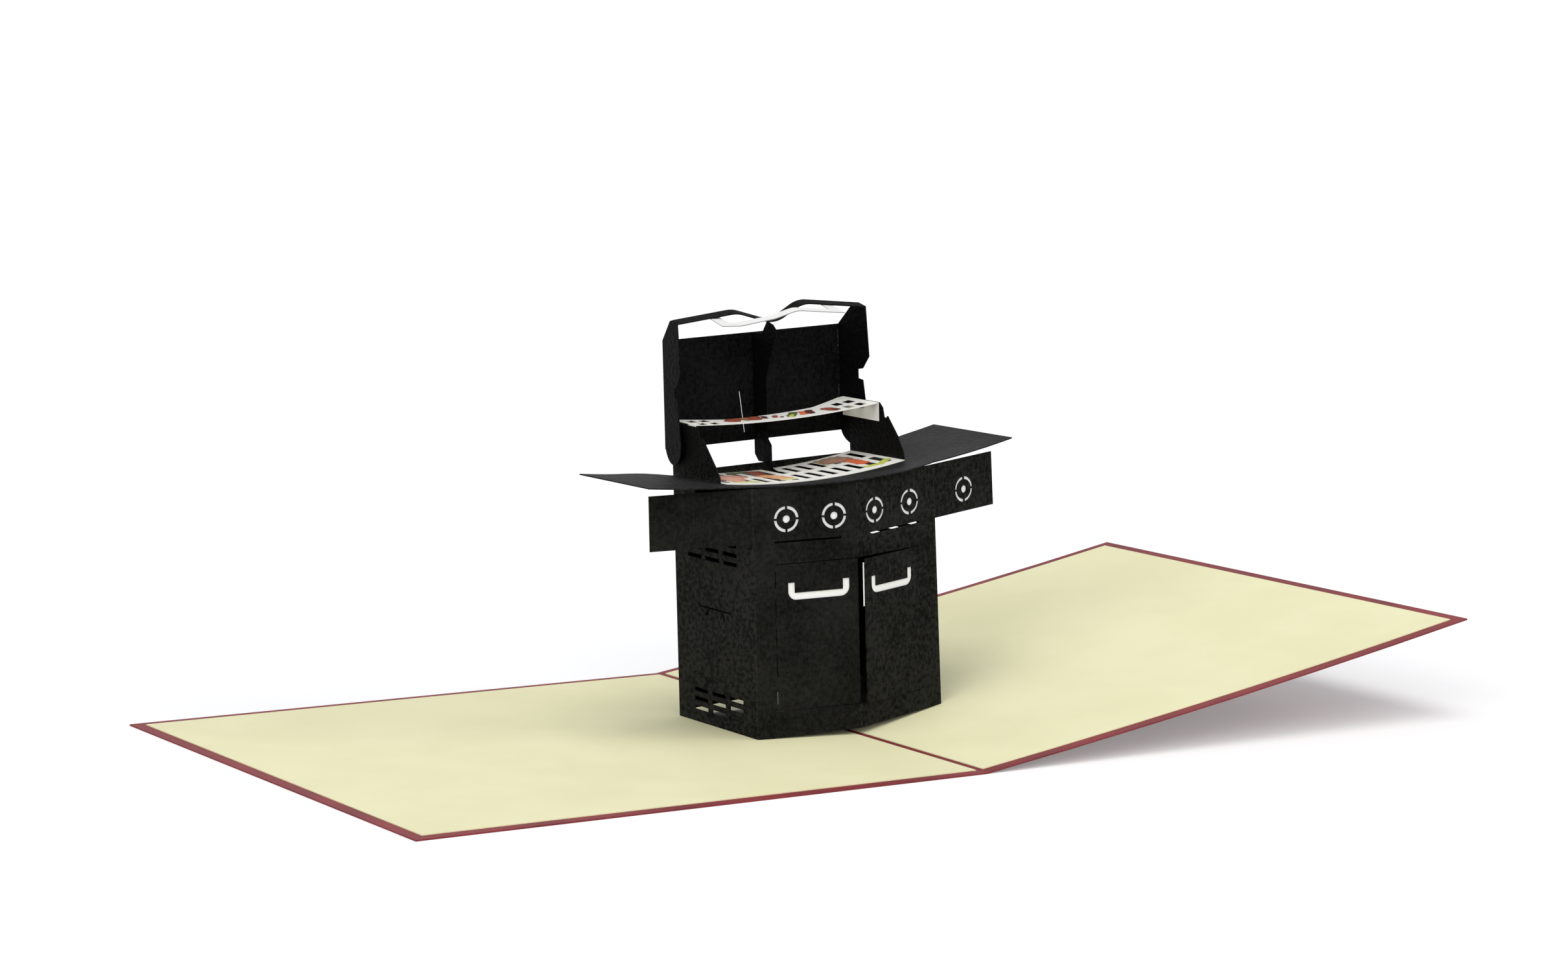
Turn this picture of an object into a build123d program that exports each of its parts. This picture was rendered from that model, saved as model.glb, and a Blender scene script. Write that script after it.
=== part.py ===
"""Pop-up greeting card: a folded cover that stands a barbecue grill of black card on its spine.

Frame: millimetres, +Z up. The origin is the middle of the spine on the surface the card lies on.
The spine runs along Y, the left page lies flat towards -X, the right page rises towards +X,
and the front of the grill faces -Y. The grill is drawn upright and then leaned about the spine.
"""
from build123d import *
from math import cos, radians, sin, sqrt, tan
import os

# Cover and liners
PAGE_WIDTH = 150.0
PAGE_LENGTH = 150.0
COVER_THICKNESS = 0.4
LINER_THICKNESS = 0.2
LINER_SEAT = 0.01
COVER_BORDER = 3.0
SPINE_LINE = 2.0
PAGE_RAISE = 9.6
RIGHT_PAGE_SAG = 0.9

# Card and paper of the grill
CARD = 0.3
PAPER = 0.15
SEAT = 0.05
GRILL_LEAN = 2.5

# Cabinet
HALF_WIDTH = 26.4
FRONT_YAW = 12.2
CENTRE_FOLD_Y = -22.6
WALL_DEPTH = 36.5
CABINET_TOP = 63.0
FRONT_LIFT = 1.6
LEFT_RISE = 0.4
RIGHT_RISE = 1.9
RIGHT_SPREAD = 1.3
FOOT_WIDTH = 5.0
BACK_WALL_LIFT = 1.3
BACK_FLANGE = 5.0

# Fascia band with its two wings
FASCIA_HEIGHT = 13.4
LEFT_WING = 26.2
RIGHT_WING = 21.6

# Control knobs, cut out as broken rings round a dot
KNOB_DIAMETER = 6.4
KNOB_RING = 0.75
KNOB_DOT = 1.9
KNOB_BRIDGE = 0.42
KNOB_DROP = 7.9
KNOB_FIRST = 6.1
KNOB_PITCH = 12.3
WING_KNOB = 11.0
TRAY_SLIT_START = 4.3
TRAY_SLIT_LENGTH = 17.4
TRAY_SLIT_HEIGHT = 0.45

# Doors
DOOR_WIDTH = 21.6
DOOR_BOTTOM = 8.2
DOOR_DROP = 5.2
DOOR_CUT = 0.2
DOOR_AJAR = 5.5
HINGE_DASH = 4.5
HINGE_PITCH = 7.2
HINGE_DASH_CUT = 0.2
HANDLE_WIDTH = 15.9
HANDLE_HEIGHT = 4.3
HANDLE_BAR = 1.75
HANDLE_CORNER = 2.2
HANDLE_OFFSET = 0.4
HANDLE_DROP = 9.1

# White paper glued behind the cut-outs
BACKING_MARGIN = 0.9
DOOR_BACKING_DROP = 1.1
DOOR_BACKING_HEIGHT = 10.7
DOOR_BACKING_SHOW = 0.35

# Vents and hook slits of the side walls
VENT_LENGTH = 6.3
VENT_HEIGHT = 1.0
VENT_COLUMNS = 3
VENT_ROWS = 3
VENT_PITCH_ALONG = 8.2
VENT_PITCH_UP = 2.3
LOWER_VENT_START = 9.5
UPPER_VENT_START = 11.0
VENT_LOW = 3.5
VENT_HIGH = 1.5
HOOK_DROP = 18.4
HOOK_MIDDLE = 18.4
HOOK_LENGTH = 14.4
HOOK_CUT = 0.3
HOOK_TICK_LENGTH = 2.4
HOOK_TICK_WIDTH = 0.6
HOOK_TICK_TURN = 50.0

# Cook box cheeks, the side walls carried up past the worktop: the points of each front edge,
# from its foot to its top, forward of the back wall and over the top of the cabinet. The foot
# reaches down a little through its slot in the worktop
LEFT_CHEEK = ((21.9, 1.0), (20.1, 3.4), (14.2, 10.0), (13.2, 9.5), (12.7, 10.3), (12.3, 12.5))
RIGHT_CHEEK = ((24.0, 2.2), (21.8, 6.2), (17.5, 11.0), (16.5, 10.3), (15.9, 10.6), (15.4, 12.9), (14.0, 14.1))

CHEEK_TUCK = 0.9

# Worktop
WORKTOP_LEFT = 28.7
WORKTOP_RIGHT = 24.0
WORKTOP_LEFT_INSET = 3.7
WORKTOP_RIGHT_INSET = 2.2
WORKTOP_LIP = 0.3
WORKTOP_SEAT = 0.15
WORKTOP_LEFT_BEND = 364.0
WORKTOP_LEFT_START = 9.0
WORKTOP_RIGHT_BEND = 208.0
WORKTOP_RIGHT_START = 14.0
WORKTOP_PITCH = 0.57
SLOT_CLEARANCE = 0.15

# Tongue of the worktop between the cheeks, sagging under the cooking grate
TONGUE_DROP = 2.15
TONGUE_BEND = 181.0
TONGUE_LOW_POINT = -2.4
TONGUE_FADE = 20.0

# Lid
LID_OVERHANG = 4.0
LID_LIFT = 5.3
LID_BACK_HEIGHT = 27.1
LID_FLARE = 9.6
CHEEK_CHAMFER = 5.4
CHEEK_WIDTH = 11.1
CHEEK_CORNER_DROP = 7.6
CHEEK_WAIST = 8.7
CHEEK_WAIST_DROP = 10.8
NOTCH_WIDTH = 7.0
NOTCH_HEIGHT = 2.3
NOTCH_SLOPE = 0.3
LOBE_WIDTH = 10.4
LOBE_LIFT = 2.0
LOBE_SLIT = 1.8
LOBE_SLIT_WIDTH = 0.45
FOLD_SLIT = 0.2
UPPER_FOLD_SLIT = 6.0
UPPER_FOLD_SLIT_DROP = 4.5
LOWER_FOLD_SLIT = 3.2
LOWER_FOLD_SLIT_RISE = 10.2
CENTRE_SLIT = 10.5
CENTRE_SLIT_WIDTH = 0.28
CENTRE_SLIT_X = 3.6
CENTRE_SLIT_RISE = 7.3
CENTRE_SLIT_TURN = 6.7

# Rim band across the top of the lid, waving up, down and up again
RIM_RISE = 5.5
RIM_WIDTH = 2.6
RIM_SETBACK = 7.4
RIM_PITCH = 16.0
RIM_ROUND = 8.0
RIM_LEFT_PEAK = (-10.3, 1.4)
RIM_DIP = (0.6, -2.1)
RIM_RIGHT_PEAK = (8.8, 2.4)

# White handle in front of the rim band, with a leg under the band at each end
HANDLE_PITCH = 14.0
HANDLE_REACH = 5.2
HANDLE_STRIP = 2.4
HANDLE_LEG = 3.3
HANDLE_HALF = 18.0
HANDLE_ROUND = 8.0
HANDLE_BEND = (-12.5, 0.1)
HANDLE_MIDDLE = (-2.5, 1.1)
HANDLE_PEAK = (4.0, 2.6)

# Centre rib of the lid
RIB_WIDTH = 6.2
RIB_FOOT_FRONT = 1.4
RIB_FOOT_BACK = 1.7
RIB_FOOT_HEIGHT = 4.6
RIB_HEAD_FRONT = 5.4
RIB_HEAD_BACK = 4.6
RIB_HEAD_HEIGHT = 11.0
RIB_HEAD_RISE = 1.0

# Warming rack, sagging between the cheeks; its back edge steps forward to clear the lid's rib
SIDE_CLEARANCE = 0.05
RACK_HEIGHT = 11.95
RACK_SETBACK = 1.5
RACK_DEPTH = 16.2
RACK_SKEW = 3.4
RACK_EAR_NEAR = 13.0
RACK_EAR_FAR = 24.0
RACK_BEND = 262.0
RACK_LOW_POINT = -6.0
RACK_FLAP = 4.7
RACK_HOLE_WIDTH = 2.3
RACK_HOLE_LENGTH = 3.8
RACK_HOLE_PITCH = 3.5
RACK_HOLE_INSET = 3.3
RACK_ROW_START = 3.7
RACK_ROW_PITCH = 5.4
RACK_ROW_SKEW = 0.6

# Cooking grate
GRATE_SEAT = 0.1
GRATE_DEPTH = 24.2
GRATE_FRONT_BORDER = 3.2
GRATE_BACK_BORDER = 2.0
GRATE_SIDE_BORDER = 1.5
GRATE_MIDDLE_BAR = 2.5
GRATE_BAR = 1.95
GRATE_COLUMNS = 13
GRATE_BACK_SLOTS = (6, 7, 8, 9, 12)
GRATE_FRONT_SLOTS = (3, 6, 7, 8, 9, 10)
GRATE_NOTCH_FLARE = 1.6
GRATE_NOTCH_DEPTH = 4.5

# Places worked out from the sizes above
STACK = COVER_THICKNESS + LINER_THICKNESS
CORNER_Y = CENTRE_FOLD_Y + HALF_WIDTH * tan(radians(FRONT_YAW))
PANEL_WIDTH = HALF_WIDTH / cos(radians(FRONT_YAW))
BACK_Y = CORNER_Y + WALL_DEPTH
INNER_HALF = HALF_WIDTH - CARD
FASCIA_BOTTOM = CABINET_TOP - FASCIA_HEIGHT
DOOR_TOP = FASCIA_BOTTOM - DOOR_DROP
HOOK_HEIGHT = FASCIA_BOTTOM - HOOK_DROP
GRATE_BACK_Y = BACK_Y - CARD - SEAT
GRATE_FRONT_Y = GRATE_BACK_Y - GRATE_DEPTH
LID_BACK_Y = BACK_Y + LID_OVERHANG
LID_INNER_Y = LID_BACK_Y - CARD
RIB_FRONT_Y = LID_INNER_Y - RIB_WIDTH
RACK_BACK_Y = LID_INNER_Y - RACK_SETBACK
RACK_FRONT_Y = RACK_BACK_Y - RACK_DEPTH
LID_BACK_BOTTOM = CABINET_TOP + LID_LIFT
LID_BACK_TOP = LID_BACK_BOTTOM + LID_BACK_HEIGHT
RIM_HEIGHT = LID_BACK_TOP + RIM_RISE
FLARE = tan(radians(LID_FLARE))
LID_HALF = HALF_WIDTH + SIDE_CLEARANCE + CARD / cos(radians(LID_FLARE)) - LID_OVERHANG * FLARE
RIM_BACK_Y = LID_BACK_Y - RIM_SETBACK
RIM_FRONT_Y = RIM_BACK_Y - RIM_WIDTH
HANDLE_FRONT_Y = RIM_FRONT_Y - HANDLE_REACH
RIM_SLOPE = tan(radians(RIM_PITCH))
HANDLE_SLOPE = tan(radians(HANDLE_PITCH))
LEFT_SLOPE = GRILL_LEAN
RIGHT_SLOPE = PAGE_RAISE - GRILL_LEAN
ABOVE_ALL = 2 * RIM_HEIGHT

# Fineness of what is worked out step by step
SETTLING_STEPS = 6
WORKTOP_STEPS = (26, 13)
GRATE_STEPS = (8, 2)
STEP_MARGIN = 1.0


def page_drop(along, sag):
    """How far a sagging page lies under its chord, a distance along it from the spine."""
    return 4 * sag * along * (PAGE_WIDTH - along) / PAGE_WIDTH ** 2


def page_height(x, slope, sag):
    """Height of a liner's top face in the grill's own frame, a distance x from the spine."""
    turn = radians(slope)
    along = x
    for _ in range(SETTLING_STEPS):
        along = (x + (STACK - page_drop(along, sag)) * sin(turn)) / cos(turn)
    return along * sin(turn) + (STACK - page_drop(along, sag)) * cos(turn)


def wall_x(z, spread):
    """Outer face of a side wall at a height, for a wall that spreads towards its foot."""
    return HALF_WIDTH + (CABINET_TOP - z) * tan(radians(spread))


def foot_x(slope, sag, spread):
    """Where the outer face of a side wall meets the liner."""
    x = HALF_WIDTH
    for _ in range(SETTLING_STEPS):
        x = wall_x(page_height(x, slope, sag), spread)
    return x


LEFT_FOOT_X = foot_x(LEFT_SLOPE, 0, 0)
RIGHT_FOOT_X = foot_x(RIGHT_SLOPE, RIGHT_PAGE_SAG, RIGHT_SPREAD)
LEFT_FOOT_Z = page_height(LEFT_FOOT_X, LEFT_SLOPE, 0) + SEAT
RIGHT_FOOT_Z = page_height(RIGHT_FOOT_X, RIGHT_SLOPE, RIGHT_PAGE_SAG) + SEAT


def upright(point, heading):
    """Upright plane through a plan point, seen from outside: local x along the heading, y up."""
    run = Vector(cos(radians(heading)), sin(radians(heading)), 0)
    return Plane(origin=(point[0], point[1], 0), x_dir=run, z_dir=run.cross(Vector(0, 0, 1)))


def wall_plane(spread):
    """Outer face of the right side wall: local x runs back from the corner, y runs up."""
    lean_out = radians(spread)
    start = (wall_x(0, spread), CORNER_Y, 0)
    return Plane(origin=start, x_dir=(0, 1, 0), z_dir=(cos(lean_out), 0, sin(lean_out)))


def sheet(plane, outline, thickness):
    """Flat sheet whose outer face lies on the plane."""
    return extrude(plane * outline, amount=-thickness)


def box_between(x0, x1, y0, y1, z0, z1):
    """Box between two opposite corners."""
    return Pos((x0 + x1) / 2, (y0 + y1) / 2, (z0 + z1) / 2) * Box(x1 - x0, y1 - y0, z1 - z0)


def along_spine(outline, y0, y1):
    """Outline in X and Z drawn out along the spine from y0 to y1."""
    start = Plane(origin=(0, y0, 0), x_dir=(1, 0, 0), z_dir=(0, -1, 0))
    return extrude(start * outline, amount=y0 - y1)


def column(plan):
    """Plan outline drawn up from the surface to above everything."""
    return extrude(plan, amount=ABOVE_ALL)


def rectangle(x0, x1, y0, y1):
    """Rectangle between two opposite corners."""
    return Pos((x0 + x1) / 2, (y0 + y1) / 2) * Rectangle(x1 - x0, y1 - y0)


def mirrored(shape):
    """The same sheet on the other side of the centre fold."""
    return mirror(shape, about=Plane.YZ)


def lean(shape):
    """Lean a piece of the grill about the spine, towards the flat page."""
    return Rot(0, -GRILL_LEAN, 0) * shape


def raise_page(shape):
    """Turn a page about the spine to where the right page stands."""
    return Rot(0, -PAGE_RAISE, 0) * shape


def card_cover():
    """One sheet folded along the spine; the left page's underside is what it lies on."""
    half = PAGE_LENGTH / 2
    left = box_between(-PAGE_WIDTH, 0, -half, half, 0, COVER_THICKNESS)
    return left + raise_page(page_sheet(0, PAGE_WIDTH, half, 0, COVER_THICKNESS))


def page_sheet(near, far, half, base, thickness):
    """Layer of the right page before it is raised, sagging a little between its edges."""
    radius = (PAGE_WIDTH ** 2 / 4 + RIGHT_PAGE_SAG ** 2) / (2 * RIGHT_PAGE_SAG)
    lowest = base - RIGHT_PAGE_SAG
    return bent_sheet(near, far, -half, half, PAGE_WIDTH / 2, lowest, radius - base, thickness)


def liner_left():
    """Cream liner glued inside the left page."""
    half = PAGE_LENGTH / 2 - COVER_BORDER
    return box_between(COVER_BORDER - PAGE_WIDTH, -SPINE_LINE / 2, -half, half, COVER_THICKNESS, STACK)


def liner_right():
    """Cream liner glued inside the raised page."""
    half = PAGE_LENGTH / 2 - COVER_BORDER
    far = PAGE_WIDTH - COVER_BORDER
    return raise_page(page_sheet(SPINE_LINE / 2, far, half, COVER_THICKNESS + LINER_SEAT, LINER_THICKNESS))


def knob_cut():
    """Broken ring and centre dot of one knob."""
    radius = KNOB_DIAMETER / 2
    ring = Circle(radius) - Circle(radius - KNOB_RING)
    bridges = Rectangle(KNOB_DIAMETER, KNOB_BRIDGE) + Rectangle(KNOB_BRIDGE, KNOB_DIAMETER)
    return ring - bridges + Circle(KNOB_DOT / 2)


def handle_cut():
    """U-shaped door handle with round lower corners, centred on its width."""
    outer = Rectangle(HANDLE_WIDTH, HANDLE_HEIGHT)
    lower = outer.vertices().sort_by(Axis.Y)[:2]
    outer = fillet(lower, radius=HANDLE_CORNER)
    gap = Pos(0, HANDLE_BAR) * Rectangle(HANDLE_WIDTH - 2 * HANDLE_BAR, HANDLE_HEIGHT)
    return outer - gap


def door_cuts():
    """Slits round the closed door: both ends, the free edge at the fold, the dashed hinge."""
    cuts = rectangle(0, DOOR_WIDTH, DOOR_TOP - DOOR_CUT, DOOR_TOP)
    cuts += rectangle(0, DOOR_WIDTH, DOOR_BOTTOM, DOOR_BOTTOM + DOOR_CUT)
    cuts += rectangle(0, DOOR_CUT, DOOR_BOTTOM, DOOR_TOP)
    dashes = int((DOOR_TOP - DOOR_BOTTOM) / HINGE_PITCH)
    lowest = (DOOR_TOP + DOOR_BOTTOM - HINGE_PITCH * (dashes - 1)) / 2
    for index in range(dashes):
        cuts += Pos(DOOR_WIDTH, lowest + HINGE_PITCH * index) * Rectangle(HINGE_DASH_CUT, HINGE_DASH)
    return cuts


def front_plane():
    """Outer face of the right front half, with local x measured from the centre fold."""
    return upright((0, CENTRE_FOLD_Y), FRONT_YAW)


def door_plane(ajar):
    """Outer face of the right door, with local x measured back from its hinge."""
    hinge = front_plane().from_local_coords((DOOR_WIDTH, 0, 0))
    return upright((hinge.X, hinge.Y), FRONT_YAW + ajar)


def door_handle_place():
    """Middle of the handle on the door plane."""
    return Pos(-DOOR_WIDTH / 2 - HANDLE_OFFSET, DOOR_TOP - HANDLE_DROP + HANDLE_HEIGHT / 2)


def front_half(foot_z, wing, rise, spread, ajar, wing_knob):
    """Right front half with its fascia wing and door; the fascia rises towards its end."""
    plane = front_plane()
    climb = tan(radians(rise))
    spread_in = tan(radians(spread)) / cos(radians(FRONT_YAW))
    end = PANEL_WIDTH + wing
    outline = Polygon(
        (0, STACK + FRONT_LIFT),
        (PANEL_WIDTH + (CABINET_TOP - foot_z) * spread_in, foot_z),
        (PANEL_WIDTH + FASCIA_HEIGHT * spread_in, FASCIA_BOTTOM + PANEL_WIDTH * climb),
        (end, FASCIA_BOTTOM + end * climb),
        (end - FASCIA_HEIGHT * climb, CABINET_TOP + end * climb),
        (0, CABINET_TOP),
        align=None,
    )
    knob_z = CABINET_TOP - KNOB_DROP
    knobs = [KNOB_FIRST, KNOB_FIRST + KNOB_PITCH]
    if wing_knob:
        knobs.append(PANEL_WIDTH + WING_KNOB)
    for knob_x in knobs:
        outline -= Pos(knob_x, knob_z + knob_x * climb) * Rot(0, 0, rise) * knob_cut()
    slit_middle = TRAY_SLIT_START + TRAY_SLIT_LENGTH / 2
    slit_place = Pos(slit_middle, FASCIA_BOTTOM + slit_middle * climb) * Rot(0, 0, rise)
    outline -= slit_place * Rectangle(TRAY_SLIT_LENGTH, TRAY_SLIT_HEIGHT)
    handle = door_handle_place() * handle_cut()
    if ajar:
        outline -= rectangle(0, DOOR_WIDTH, DOOR_BOTTOM, DOOR_TOP)
        leaf = rectangle(-DOOR_WIDTH, CARD, DOOR_BOTTOM + DOOR_CUT, DOOR_TOP - DOOR_CUT)
        return sheet(plane, outline, CARD) + sheet(door_plane(ajar), leaf - handle, CARD)
    outline -= door_cuts()
    outline -= Pos(DOOR_WIDTH, 0) * handle
    return sheet(plane, outline, CARD)


def vent_group(start, first_z, step):
    """Three by three vents; the first at a place and height, the next rows a step away."""
    group = Sketch()
    for column_index in range(VENT_COLUMNS):
        for row_index in range(VENT_ROWS):
            place = Pos(start + column_index * VENT_PITCH_ALONG, first_z + row_index * step)
            group += place * Rectangle(VENT_LENGTH, VENT_HEIGHT)
    return group


def hook_cuts():
    """Half-cut hook: a long slit with a short tick under each end."""
    drop = HOOK_HEIGHT - HOOK_TICK_LENGTH / 2
    cuts = Pos(HOOK_MIDDLE, HOOK_HEIGHT) * Rectangle(HOOK_LENGTH, HOOK_CUT)
    for side in (-1, 1):
        place = Pos(HOOK_MIDDLE + side * HOOK_LENGTH / 4, drop) * Rot(0, 0, -side * HOOK_TICK_TURN)
        cuts += place * Rectangle(HOOK_TICK_LENGTH, HOOK_TICK_WIDTH)
    return cuts


def side_wall(foot_z, wing, spread, cheek):
    """Right side wall, folded back from the front and carried up as the cook box cheek."""
    fold_back = tan(radians(spread)) * tan(radians(FRONT_YAW))
    front_edge = [(WALL_DEPTH - forward, CABINET_TOP + up) for forward, up in cheek]
    outline = Polygon(
        ((CABINET_TOP - foot_z) * fold_back, foot_z),
        (WALL_DEPTH, foot_z),
        (WALL_DEPTH, front_edge[-1][1]),
        *reversed(front_edge),
        (front_edge[0][0], CABINET_TOP - CHEEK_TUCK),
        (wing, CABINET_TOP - CHEEK_TUCK),
        (wing, FASCIA_BOTTOM),
        (FASCIA_HEIGHT * fold_back, FASCIA_BOTTOM),
        align=None,
    )
    outline -= vent_group(LOWER_VENT_START, foot_z + VENT_LOW, VENT_PITCH_UP)
    outline -= vent_group(UPPER_VENT_START, FASCIA_BOTTOM - VENT_HIGH, -VENT_PITCH_UP)
    outline -= hook_cuts()
    return sheet(wall_plane(spread), outline, CARD)


def wall_foot(outer, slope, sag):
    """Glue foot folded inwards from the right wall and lying on the liner."""
    inner = outer - FOOT_WIDTH
    outer_z = page_height(outer, slope, sag) + SEAT
    inner_z = page_height(inner, slope, sag) + SEAT
    section = Polygon(
        (outer, outer_z),
        (outer, outer_z + CARD),
        (inner, inner_z + CARD),
        (inner, inner_z),
        align=None,
    )
    front = CORNER_Y + (outer - HALF_WIDTH) * tan(radians(FRONT_YAW)) + CARD
    return along_spine(section, front, BACK_Y)


def cabinet():
    """Front, fascia wings, doors, side walls, feet and cheeks: one folded sheet of black card."""
    right = front_half(RIGHT_FOOT_Z, RIGHT_WING, RIGHT_RISE, RIGHT_SPREAD, DOOR_AJAR, True)
    right += side_wall(RIGHT_FOOT_Z, RIGHT_WING, RIGHT_SPREAD, RIGHT_CHEEK)
    right += wall_foot(RIGHT_FOOT_X, RIGHT_SLOPE, RIGHT_PAGE_SAG)
    left = front_half(LEFT_FOOT_Z, LEFT_WING, LEFT_RISE, 0, 0, False)
    left += side_wall(LEFT_FOOT_Z, LEFT_WING, 0, LEFT_CHEEK) + wall_foot(LEFT_FOOT_X, LEFT_SLOPE, 0)
    return right + mirrored(left)


def back_flange(foot_z, spread):
    """Flange of the back wall, glued inside the right side wall."""
    face = wall_plane(spread).offset(-CARD)
    top = CABINET_TOP - TONGUE_DROP
    strip = rectangle(WALL_DEPTH - BACK_FLANGE, WALL_DEPTH, foot_z + BACK_WALL_LIFT, top)
    return sheet(face, strip, CARD)


def back_wall():
    """Back of the cabinet between the side walls, with a flange glued to each of them."""
    left_z = LEFT_FOOT_Z + BACK_WALL_LIFT
    right_z = RIGHT_FOOT_Z + BACK_WALL_LIFT
    glue_face = CARD / cos(radians(RIGHT_SPREAD))
    outline = Polygon(
        (glue_face - wall_x(right_z, RIGHT_SPREAD), right_z),
        (INNER_HALF, left_z),
        (INNER_HALF, CABINET_TOP),
        (glue_face - HALF_WIDTH, CABINET_TOP),
        align=None,
    )
    wall = sheet(upright((0, BACK_Y), 180), outline, CARD)
    return wall + back_flange(RIGHT_FOOT_Z, RIGHT_SPREAD) + mirrored(back_flange(LEFT_FOOT_Z, 0))


def ease(share):
    """Smooth step from 0 to 1."""
    share = min(max(share, 0.0), 1.0)
    return share * share * (3 - 2 * share)


def tongue_height(x, y):
    """Top of the worktop between the cheeks, where it sags under the grate."""
    base = CABINET_TOP + WORKTOP_SEAT + CARD - TONGUE_DROP - (y - CORNER_Y) * tan(radians(WORKTOP_PITCH))
    return base + (x - TONGUE_LOW_POINT) ** 2 / (2 * TONGUE_BEND)


def worktop_bend(x):
    """Rise of the worktop towards its ends; on the right it follows the fascia, then bends up."""
    right = max(x - WORKTOP_RIGHT_START, 0) ** 2 / (2 * WORKTOP_RIGHT_BEND)
    left = max(-x - WORKTOP_LEFT_START, 0) ** 2 / (2 * WORKTOP_LEFT_BEND)
    return max(x, 0) * tan(radians(RIGHT_RISE)) + right + left


def worktop_height(x, y):
    """Top of the worktop: a long bend, fading into the tongue over the cook box."""
    base = CABINET_TOP + WORKTOP_SEAT + CARD
    bend = base + worktop_bend(x) - (y - CORNER_Y) * tan(radians(WORKTOP_PITCH))
    inward = 1 - ease((abs(x) - HALF_WIDTH) / TONGUE_FADE)
    start = (CENTRE_FOLD_Y + CORNER_Y) / 2
    backward = ease((y - start) / (GRATE_FRONT_Y - start))
    return bend + inward * backward * (tongue_height(x, y) - bend)


def stepped(low, high, steps):
    """Evenly spaced values that reach a little past both ends."""
    start = low - STEP_MARGIN
    length = high + STEP_MARGIN - start
    return [start + length * index / steps for index in range(steps + 1)]


def soft_sheet(plan, height, lift, steps, thickness):
    """Sheet over a plan outline; its lower face follows a height over the plan, plus a lift."""
    extent = plan.bounding_box()
    rows = []
    for x in stepped(extent.min.X, extent.max.X, steps[0]):
        row = []
        for y in stepped(extent.min.Y, extent.max.Y, steps[1]):
            row.append(Vector(x, y, height(x, y) + lift))
        rows.append(row)
    face = Face.make_surface_from_array_of_points(rows)
    return extrude(face, amount=thickness, dir=(0, 0, 1)) & column(plan)


def cheek_slot(cheek):
    """Slot of the worktop round the right cheek."""
    front = BACK_Y - cheek[0][0] - SLOT_CLEARANCE
    return rectangle(INNER_HALF - SLOT_CLEARANCE, HALF_WIDTH + SLOT_CLEARANCE, front, BACK_Y)


def worktop():
    """Worktop resting on the fascia, bent up towards both ends, with slots for the cheeks."""
    left = -HALF_WIDTH - WORKTOP_LEFT
    right = HALF_WIDTH + WORKTOP_RIGHT
    left_back = BACK_Y - WORKTOP_LEFT_INSET
    right_back = BACK_Y - WORKTOP_RIGHT_INSET
    lip = CENTRE_FOLD_Y - WORKTOP_LIP
    plan = Polygon(
        (left, CORNER_Y),
        (right, CORNER_Y),
        (right, right_back),
        (left, left_back),
        align=None,
    )
    bulge = ThreePointArc((-HALF_WIDTH, CORNER_Y), (0, lip), (HALF_WIDTH, CORNER_Y))
    bulge += Line((HALF_WIDTH, CORNER_Y), (-HALF_WIDTH, CORNER_Y))
    plan += make_face(bulge)
    plan -= cheek_slot(RIGHT_CHEEK) + mirrored(cheek_slot(LEFT_CHEEK))
    return soft_sheet(plan, worktop_height, -CARD, WORKTOP_STEPS, CARD)


def bow(x, low_point, base, radius):
    """Height of a sagging sheet's underside."""
    return base + radius - sqrt(radius ** 2 - (x - low_point) ** 2)


def bent_sheet(left, right, front, back, low_point, base, radius, thickness):
    """Sheet bent about an axis along the spine, lowest at low_point."""
    middle = (left + right) / 2
    under = [(x, bow(x, low_point, base, radius)) for x in (left, middle, right)]
    over = [(x, bow(x, low_point, base + thickness, radius - thickness)) for x in (right, middle, left)]
    edge = ThreePointArc(*under) + Line(under[2], over[0]) + ThreePointArc(*over) + Line(over[2], under[0])
    return along_spine(make_face(edge), front, back)


def lid_cheek():
    """Right cheek of the lid: chamfered top, notched front edge, round lobe with a slit."""
    plane = upright((LID_HALF, LID_BACK_Y), 90 + LID_FLARE)
    lobe_radius = LOBE_WIDTH / 2
    lobe_z = CABINET_TOP + LOBE_LIFT + lobe_radius
    rim_top = RIM_HEIGHT + CARD
    rim_back = RIM_SETBACK / cos(radians(LID_FLARE))
    rim_front = (RIM_SETBACK + RIM_WIDTH) / cos(radians(LID_FLARE))
    waist_z = LID_BACK_TOP - CHEEK_WAIST_DROP
    notch_top = waist_z - NOTCH_SLOPE
    notch_bottom = notch_top - NOTCH_HEIGHT
    outline = Polygon(
        (0, lobe_z),
        (0, LID_BACK_TOP),
        (-CHEEK_CHAMFER, LID_BACK_TOP + CHEEK_CHAMFER),
        (-rim_back, rim_top),
        (-rim_front, rim_top - RIM_WIDTH * RIM_SLOPE),
        (-CHEEK_WIDTH, LID_BACK_TOP - CHEEK_CORNER_DROP),
        (-CHEEK_WAIST, waist_z),
        (-NOTCH_WIDTH, notch_top),
        (-NOTCH_WIDTH, notch_bottom),
        (-CHEEK_WAIST, notch_bottom - NOTCH_SLOPE),
        (-LOBE_WIDTH, lobe_z),
        align=None,
    )
    outline += Pos(-lobe_radius, lobe_z) * Circle(lobe_radius)
    outline -= Pos(-lobe_radius, lobe_z - LOBE_SLIT) * Rectangle(LOBE_SLIT_WIDTH, LOBE_SLIT)
    return sheet(plane, outline, CARD)


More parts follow.
